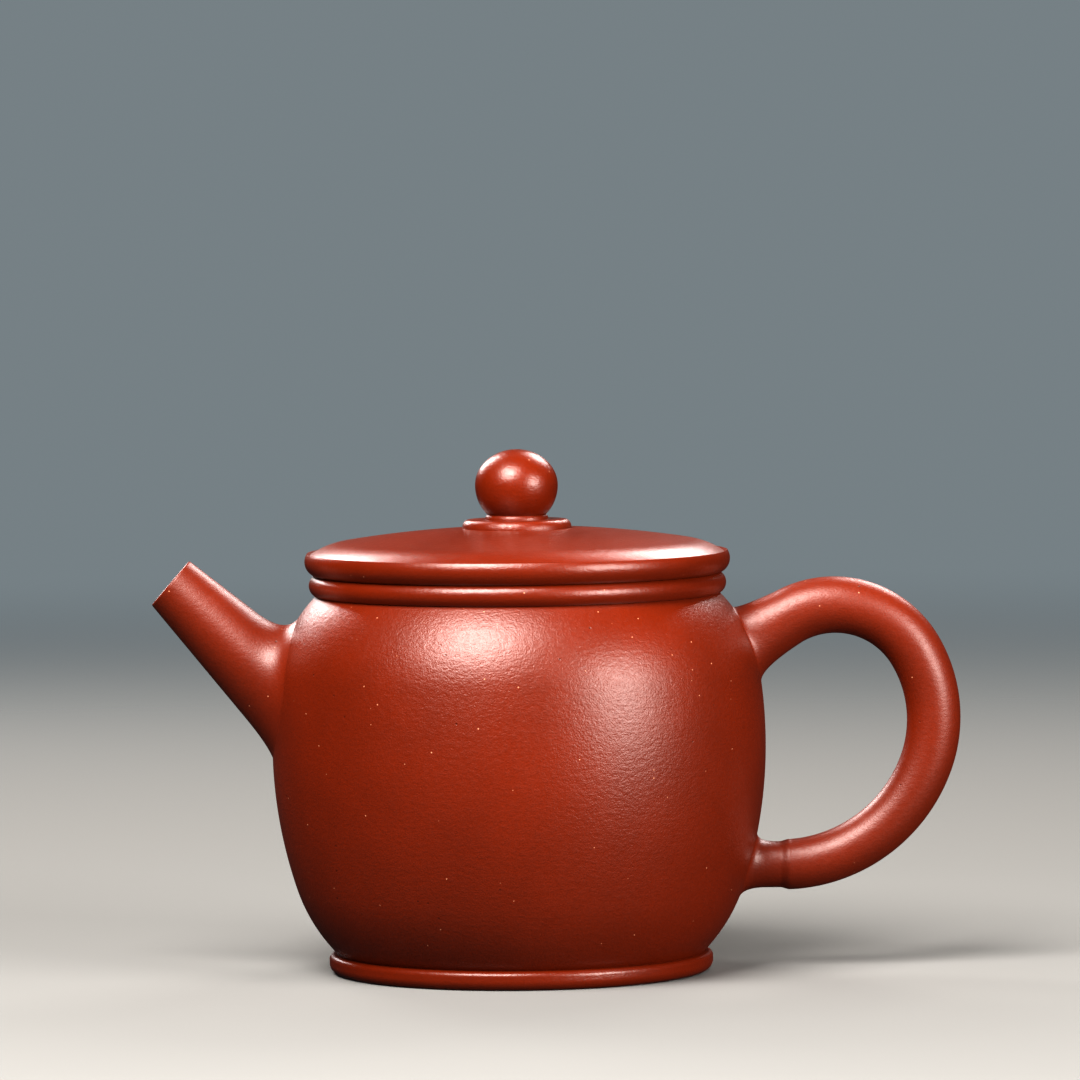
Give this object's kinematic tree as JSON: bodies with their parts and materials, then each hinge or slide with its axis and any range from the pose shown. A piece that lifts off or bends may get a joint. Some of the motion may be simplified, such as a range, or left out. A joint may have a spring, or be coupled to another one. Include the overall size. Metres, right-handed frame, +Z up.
{
  "type": "clay teapot",
  "caption": "Small round unglazed red clay teapot with a straight spout, a loop handle and a lift-off lid with a ball knob.",
  "frame": {"origin": "on the pot's own axis, in the plane that the foot stands on", "axes": "+Z up, the spout points to -X, the handle to +X, and the pot is the same on both sides of Y = 0"},
  "size_m": [0.1299, 0.0794, 0.084],
  "materials": {
    "outer_clay": "unglazed fired clay, burnished to a satin",
    "inner_clay": "unglazed fired clay, matt"
  },
  "bodies": {
    "pot": {"body_wall": "outer_clay", "base_disc": "outer_clay", "foot_ring": "outer_clay", "shoulder_disc": "outer_clay", "neck_ring": "outer_clay", "spout": "outer_clay", "strainer_dome": "inner_clay", "handle": "outer_clay", "handle_stub": "outer_clay"},
    "lid_carrier": {"lid_flange": "inner_clay"},
    "lid": {"lid_rim": "outer_clay", "lid_dome": "outer_clay", "knob_seat": "outer_clay", "knob_collar": "outer_clay", "knob": "outer_clay"}
  },
  "joints": [
    {"name": "lid_lift", "type": "slide", "parent": "pot", "child": "lid_carrier", "axis": [0, 0, 1], "range_m": [0, 0.06]},
    {"name": "lid_turn", "type": "hinge", "parent": "lid_carrier", "child": "lid", "pos_m": [0, 0, 0.0641], "axis": [0, 0, 1], "continuous": true}
  ]
}
